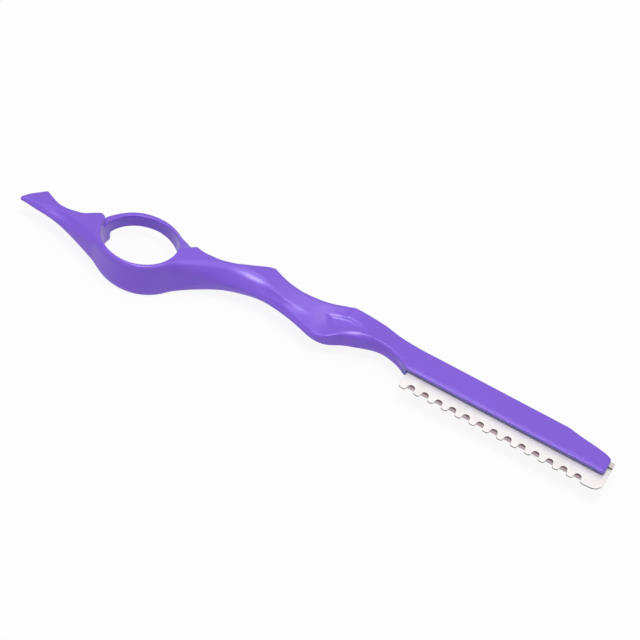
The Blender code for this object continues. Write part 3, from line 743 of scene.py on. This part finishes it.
def tone_within(material, tone, slabs):
    """Turn a material's colour to a tone where all of the slabs meet: the product of their
    masks mixes the two. A slab is an axis and, in the frame's millimetres, its middle and the
    distances from there at which the tone starts to fade and ends."""
    nodes, links = material.node_tree.nodes, material.node_tree.links
    shader = nodes["Principled BSDF"]
    under = shader.inputs["Base Color"].links[0].from_socket
    whole = None
    for axis, middle, (start, end) in slabs:
        mask = nodes.new("ShaderNodeGroup")
        mask.node_tree = axis_mask
        mask.inputs["Axis"].default_value = axis
        mask.inputs["Middle"].default_value = middle * MM
        mask.inputs["Start"].default_value = start * MM
        mask.inputs["End"].default_value = end * MM
        if whole is None:
            whole = mask.outputs["Mask"]
        else:
            both = nodes.new("ShaderNodeMath")
            both.operation = "MULTIPLY"
            links.new(whole, both.inputs[0])
            links.new(mask.outputs["Mask"], both.inputs[1])
            whole = both.outputs["Value"]
    blend = nodes.new("ShaderNodeMix")
    blend.data_type = "RGBA"
    links.new(whole, blend.inputs["Factor"])
    links.new(under, blend.inputs["A"])
    blend.inputs["B"].default_value = (*tone, 1.0)
    links.new(blend.outputs["Result"], shader.inputs["Base Color"])


VIOLET_DARK = (0.164, 0.057, 0.605)
VIOLET_LIGHT = (0.186, 0.069, 0.645)
PAINTED_SHADE_VIOLET = (0.09, 0.07, 0.40)
handle_coating = finish(
    "handle_coating", dark=VIOLET_DARK, light=VIOLET_LIGHT, rough=(0.42, 0.50), metallic=0.1,
    clouds=70.0, grain=5200.0, stretch=1.0, relief_share=0.12, relief=0.03,
)
coating = handle_coating.node_tree.nodes["Principled BSDF"]
coating.inputs["Coat Weight"].default_value = 0.5
coating.inputs["Coat Roughness"].default_value = 0.23
# Painted shade: the coating is painted dark violet in the slot and on the holder's walls beside
# its mouth, where shade falls.
PAINTED_SHADE_HEIGHT = (1.35, 1.55)
PAINTED_SHADE_MIDDLE = 60.0
PAINTED_SHADE_REACH = (33.1, 33.3)
PAINTED_SHADE_SIDE = (10.9, 11.1)
# Painted shade on the holder's walls and in the slot, mixed into the coating's colour.
tone_within(handle_coating, PAINTED_SHADE_VIOLET, (
    (UP, HALF_THICKNESS, PAINTED_SHADE_HEIGHT),
    (ALONG, PAINTED_SHADE_MIDDLE, PAINTED_SHADE_REACH),
    (ACROSS, 0.0, PAINTED_SHADE_SIDE),
))
handle.data.materials.append(handle_coating)
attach(handle, "handle")
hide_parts("handle")


# Guard: a thin bright steel sheet, folded once round the blade's back. Both of its leaves are
# stamped with the same row of rounded teeth, which keep the edge off the skin. The shears leave
# a duller edge all round, and that edge is painted darker still as shade on its walls.
GUARD_START = 120.5
GUARD_END = 183.1
TOOTH_TIPS = -1.6
GUARD_BACK = 9.4
# The sheet's two faces, by their distance from the blade's middle plane.
GUARD_OUTER = 0.27
GUARD_INNER = 0.09
# Corners and notches of the leaves in plan. The notches' flanks lean by an angle in radians.
HEEL_CORNER = 0.9
TOE_CORNER = 3.2
NOTCH_PITCH = 4.33
NOTCH_DEPTH = 2.6
NOTCH_COUNT = 13
FIRST_NOTCH = 3.5
ARCH_RADIUS = 1.05
FLANK_LEAN = 0.16
TOOTH_ROUND = 0.78
# Rounding of the cut edges, and the flat rim kept beside it.
EDGE_ROUND = 0.04
EDGE_CORNER_SHARE = 0.3
LEAF_RIM = 0.2
# Faces round the fold and round each kind of corner.
FOLD_STEPS = 8
TOOTH_STEPS = 6
ARCH_STEPS = 12
HEEL_STEPS = 8
TOE_STEPS = 14


def arc_points(centre, radius, first, last, steps):
    """Points on an arc in plan, from one angle to another in degrees."""
    turn = np.radians(np.linspace(first, last, steps + 1))
    return centre + radius * np.stack((np.cos(turn), np.sin(turn)), 1)


def guard_outline():
    """Edge of a leaf in plan, from the heel's corner to the toe's: every notch is an arch on
    two flanks that spread, and round corners lead from the flanks to the tips. The teeth are
    the one notch repeated at its pitch."""
    root = TOOTH_TIPS + NOTCH_DEPTH - ARCH_RADIUS
    lean = math.degrees(FLANK_LEAN)
    spread = FLANK_LEAN * (root - TOOTH_TIPS - TOOTH_ROUND)
    reach = ARCH_RADIUS + spread + TOOTH_ROUND
    tip = TOOTH_TIPS + TOOTH_ROUND
    notch = np.concatenate((
        arc_points((-reach, tip), TOOTH_ROUND, 270, 360 - lean, TOOTH_STEPS),
        arc_points((0.0, root), ARCH_RADIUS, 180 - lean, lean, ARCH_STEPS),
        arc_points((reach, tip), TOOTH_ROUND, 180 + lean, 270, TOOTH_STEPS),
    ))
    middles = GUARD_START + FIRST_NOTCH + NOTCH_PITCH * np.arange(NOTCH_COUNT)
    teeth = notch[None] + np.stack((middles, np.zeros(NOTCH_COUNT)), 1)[:, None]
    heel_middle = (GUARD_START + HEEL_CORNER, TOOTH_TIPS + HEEL_CORNER)
    toe_middle = (GUARD_END - TOE_CORNER, TOOTH_TIPS + TOE_CORNER)
    heel = arc_points(heel_middle, HEEL_CORNER, 180, 270, HEEL_STEPS)
    toe = arc_points(toe_middle, TOE_CORNER, 270, 360, TOE_STEPS)
    return np.concatenate((heel, teeth.reshape(-1, 2), toe))


def folded_sheet(outline):
    """Skin of the folded sheet. At every point of the outline one closed loop runs over the
    upper leaf's edge, back to the fold and round it, over the lower leaf's edge, and inside
    again; between the two end loops' outer and inner runs lie the sheet's cut ends."""
    along = np.gradient(outline, axis=0)
    along = along / np.linalg.norm(along, axis=1)[:, None]
    inwards = np.stack((-along[:, 1], along[:, 0]), 1)
    inwards[[0, -1]] = (0.0, 1.0)
    length = len(outline)
    soft = EDGE_ROUND
    cut = EDGE_CORNER_SHARE * soft
    upper = np.array((
        (LEAF_RIM, GUARD_INNER), (soft, GUARD_INNER), (cut, GUARD_INNER + cut),
        (0.0, GUARD_INNER + soft), (0.0, GUARD_OUTER - soft),
        (cut, GUARD_OUTER - cut), (soft, GUARD_OUTER), (LEAF_RIM, GUARD_OUTER),
    ))
    lower = upper[::-1] * (1.0, -1.0)
    turn = np.linspace(0, math.pi, FOLD_STEPS + 1)

    def edge_rows(profile):
        plan = outline[None] + inwards[None] * profile[:, None, :1]
        height = np.broadcast_to(profile[:, None, 1:], plan.shape[:2] + (1,))
        return np.concatenate((plan, height), 2)

    def fold_rows(radius, angles):
        grid = np.empty((len(angles), length, 3))
        grid[..., 0] = outline[:, 0]
        grid[..., 1] = (GUARD_BACK - GUARD_OUTER + radius * np.sin(angles))[:, None]
        grid[..., 2] = (radius * np.cos(angles))[:, None]
        return grid

    grid = np.concatenate((
        edge_rows(upper), fold_rows(GUARD_OUTER, turn),
        edge_rows(lower), fold_rows(GUARD_INNER, turn[::-1]),
    ))
    number = np.arange(len(grid) * length).reshape(len(grid), length)
    beyond = np.roll(number, -1, axis=0)
    sides = np.stack((number[:, :-1], number[:, 1:], beyond[:, 1:], beyond[:, :-1]), 2)
    half_edge = len(upper) // 2
    outer_run = np.arange(half_edge, len(upper) + len(turn) + half_edge)
    inner_run = np.roll(np.arange(len(grid))[::-1], half_edge)[:len(outer_run)]
    caps = []
    for end in (0, length - 1):
        outer, inner = number[outer_run, end], number[inner_run, end]
        quads = np.stack((outer[:-1], outer[1:], inner[1:], inner[:-1]), 1)
        caps.append(quads if end == 0 else quads[:, ::-1])
    return grid.reshape(-1, 3), np.concatenate((sides.reshape(-1, 4), *caps))


sheet_points, sheet_faces = folded_sheet(guard_outline())
guard = add_piece("guard_sheet", sheet_points + TO_FRAME, sheet_faces)
# The cut edges are painted grey, partly for the shears' duller finish and partly as painted
# shade on the edge walls, wherever a place lies less far from the middle plane than the outer
# face by these depths, between which the grey fades.
SHEET_DARK = (0.83, 0.79, 0.77)
SHEET_LIGHT = (0.90, 0.86, 0.84)
DULL_AND_SHADED_EDGE_GREY = (0.50, 0.47, 0.475)
DULL_AND_SHADED_EDGE_DEPTH = (0.05, 0.02)
guard_steel = finish(
    "guard_steel", dark=SHEET_DARK, light=SHEET_LIGHT, rough=(0.38, 0.5), metallic=0.3,
    clouds=160.0, grain=9000.0, stretch=0.05, relief_share=0.1, relief=0.01,
)
dull_and_shaded_edge_reach = [GUARD_OUTER - depth for depth in DULL_AND_SHADED_EDGE_DEPTH]
# Painted shade: grey on the sheet's cut edges, partly a duller finish and partly shade.
tone_within(guard_steel, DULL_AND_SHADED_EDGE_GREY, ((UP, HALF_THICKNESS, dull_and_shaded_edge_reach),))
guard.data.materials.append(guard_steel)
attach(guard, "cartridge")
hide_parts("guard")


# Blade: a strip of hardened steel, ground to a bevel along its cutting edge. It lies between
# the guard's leaves and shows in the notches, bright on the bevel and dark on the flank behind.
# The flank's dark grey is partly the unground steel and partly painted shadow of the guard's
# leaf.
BEVEL_DARK = (0.32, 0.255, 0.28)
BEVEL_LIGHT = (0.39, 0.315, 0.345)
FLANK_AND_PAINTED_SHADOW_GREY = (0.17, 0.12, 0.138)
# The flank's middle across the razor and its half width, with the fade at the bevel.
SHADOWED_FLANK_MIDDLE = 8.2
SHADOWED_FLANK_REACH = (8.0, 8.12)
blade_steel = finish(
    "blade_steel", dark=BEVEL_DARK, light=BEVEL_LIGHT, rough=(0.26, 0.34), metallic=0.6,
    clouds=200.0, grain=12000.0, stretch=0.04, relief_share=0.1, relief=0.01,
)
# Painted shadow: the flank behind the bevel is painted dark, partly as the guard leaf's shadow.
tone_within(blade_steel, FLANK_AND_PAINTED_SHADOW_GREY, ((ACROSS, SHADOWED_FLANK_MIDDLE, SHADOWED_FLANK_REACH),))
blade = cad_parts["blade"]
blade.material_slots[0].material = blade_steel


# Spine clip: a channel of sheet steel pressed over the guard's fold. It stiffens the cartridge
# and runs in the holder's inner channel. Its cut front edge is painted black as painted shadow.
CLIP_DARK = (0.56, 0.48, 0.50)
CLIP_LIGHT = (0.64, 0.56, 0.58)
CLIP_EDGE_PAINTED_SHADOW = (0.03, 0.025, 0.03)
CLIP_FRONT = 7.96
CLIP_SHADOW_REACH = (0.05, 0.1)
clip_steel = finish(
    "clip_steel", dark=CLIP_DARK, light=CLIP_LIGHT, rough=(0.28, 0.38), metallic=0.85,
    clouds=160.0, grain=8000.0, stretch=0.05, relief_share=0.1, relief=0.01,
)
# Painted shadow: a black band along the clip's front edge.
tone_within(clip_steel, CLIP_EDGE_PAINTED_SHADOW, ((ACROSS, CLIP_FRONT, CLIP_SHADOW_REACH),))
spine_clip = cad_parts["spine_clip"]
spine_clip.material_slots[0].material = clip_steel


# Stage: a plain pale floor that shows white to the camera and keeps the razor's soft shadow,
# under a white world. A soft lamp hangs overhead and a long one stands in front. Two small ones,
# beyond the tail and behind, draw the streaks on the grip and the scoop.
def shows_white(nodes, links):
    """One where a camera, glossy or transmission ray looks, from the light path."""
    path = nodes.new("ShaderNodeLightPath")
    first = nodes.new("ShaderNodeMath")
    first.operation = "MAXIMUM"
    links.new(path.outputs["Is Camera Ray"], first.inputs[0])
    links.new(path.outputs["Is Glossy Ray"], first.inputs[1])
    second = nodes.new("ShaderNodeMath")
    second.operation = "MAXIMUM"
    links.new(first.outputs["Value"], second.inputs[0])
    links.new(path.outputs["Is Transmission Ray"], second.inputs[1])
    return second.outputs["Value"]


FLOOR_HALF = 3.0
FLOOR_GREY = (0.86, 0.86, 0.86, 1.0)
FLOOR_GLOW_SHARE = 0.90
floor_corners = np.array(((-1, -1, 0), (1, -1, 0), (1, 1, 0), (-1, 1, 0))) * FLOOR_HALF
floor_mesh = bpy.data.meshes.new("floor")
floor_mesh.from_pydata(floor_corners.tolist(), [], [(0, 1, 2, 3)])
floor = bpy.data.objects.new("floor", floor_mesh)
bpy.context.scene.collection.objects.link(floor)
floor_paper = bpy.data.materials.new("floor_paper")
floor_paper.use_nodes = True
nodes, links = floor_paper.node_tree.nodes, floor_paper.node_tree.links
paper = nodes["Principled BSDF"]
paper.inputs["Base Color"].default_value = FLOOR_GREY
paper.inputs["Roughness"].default_value = 0.9
paper.inputs["Specular IOR Level"].default_value = 0.0
glow = nodes.new("ShaderNodeEmission")
glow.inputs["Strength"].default_value = 1.0
blend = nodes.new("ShaderNodeMixShader")
share_of_glow = nodes.new("ShaderNodeMath")
share_of_glow.operation = "MULTIPLY"
share_of_glow.inputs[1].default_value = FLOOR_GLOW_SHARE
links.new(shows_white(nodes, links), share_of_glow.inputs[0])
links.new(share_of_glow.outputs["Value"], blend.inputs["Fac"])
links.new(paper.outputs["BSDF"], blend.inputs[1])
links.new(glow.outputs["Emission"], blend.inputs[2])
links.new(blend.outputs["Shader"], nodes["Material Output"].inputs["Surface"])
floor_mesh.materials.append(floor_paper)

SURROUND_LIGHT = 0.47
world = bpy.data.worlds.new("studio")
bpy.context.scene.world = world
world.use_nodes = True
nodes, links = world.node_tree.nodes, world.node_tree.links
surround = nodes["Background"]
surround.inputs["Color"].default_value = (1.0, 1.0, 1.0, 1.0)
surround_level = nodes.new("ShaderNodeMapRange")
surround_level.inputs["To Min"].default_value = SURROUND_LIGHT
surround_level.inputs["To Max"].default_value = 1.0
links.new(shows_white(nodes, links), surround_level.inputs["Value"])
links.new(surround_level.outputs["Result"], surround.inputs["Strength"])


def soft_lamp(name, place, size, power):
    """Rectangular lamp at a place, turned towards the razor."""
    light = bpy.data.lights.new(name, "AREA")
    light.shape = "RECTANGLE"
    light.size, light.size_y = size
    light.energy = power
    lamp = bpy.data.objects.new(name, light)
    lamp.location = place
    lamp.rotation_euler = (-Vector(place)).to_track_quat("-Z", "Y").to_euler()
    bpy.context.scene.collection.objects.link(lamp)


soft_lamp("overhead_box", place=(0.0, 0.01, 1.0), size=(0.28, 0.32), power=4.4)
soft_lamp("front_fill", place=(-0.5, -1.3, 0.38), size=(2.0, 0.6), power=3.3)
soft_lamp("side_box", place=(-0.56, 0.0, 0.9), size=(0.26, 0.16), power=0.6)
soft_lamp("far_box", place=(-0.1, 0.49, 0.95), size=(0.16, 0.12), power=0.38)

# Camera, solved from the photo. The matrix's columns are the picture's right, its up, the way
# back to the camera, and the camera's place in metres.
PICTURE_PIXELS = 640
FOCAL_PIXELS = 2500
SENSOR_WIDTH = 36.0
view = bpy.data.cameras.new("camera")
view.lens = FOCAL_PIXELS * SENSOR_WIDTH / PICTURE_PIXELS
view.sensor_width = SENSOR_WIDTH
view.clip_start = 0.05
view.clip_end = 20.0
camera = bpy.data.objects.new("camera", view)
camera.matrix_world = Matrix((
    (0.8703, -0.4607, 0.1740, 0.122346),
    (0.4418, 0.5742, -0.6894, -0.478493),
    (0.2177, 0.6768, 0.7032, 0.500269),
    (0.0, 0.0, 0.0, 1.0),
))
bpy.context.scene.collection.objects.link(camera)
bpy.context.scene.camera = camera
bpy.context.scene.view_settings.view_transform = "Standard"
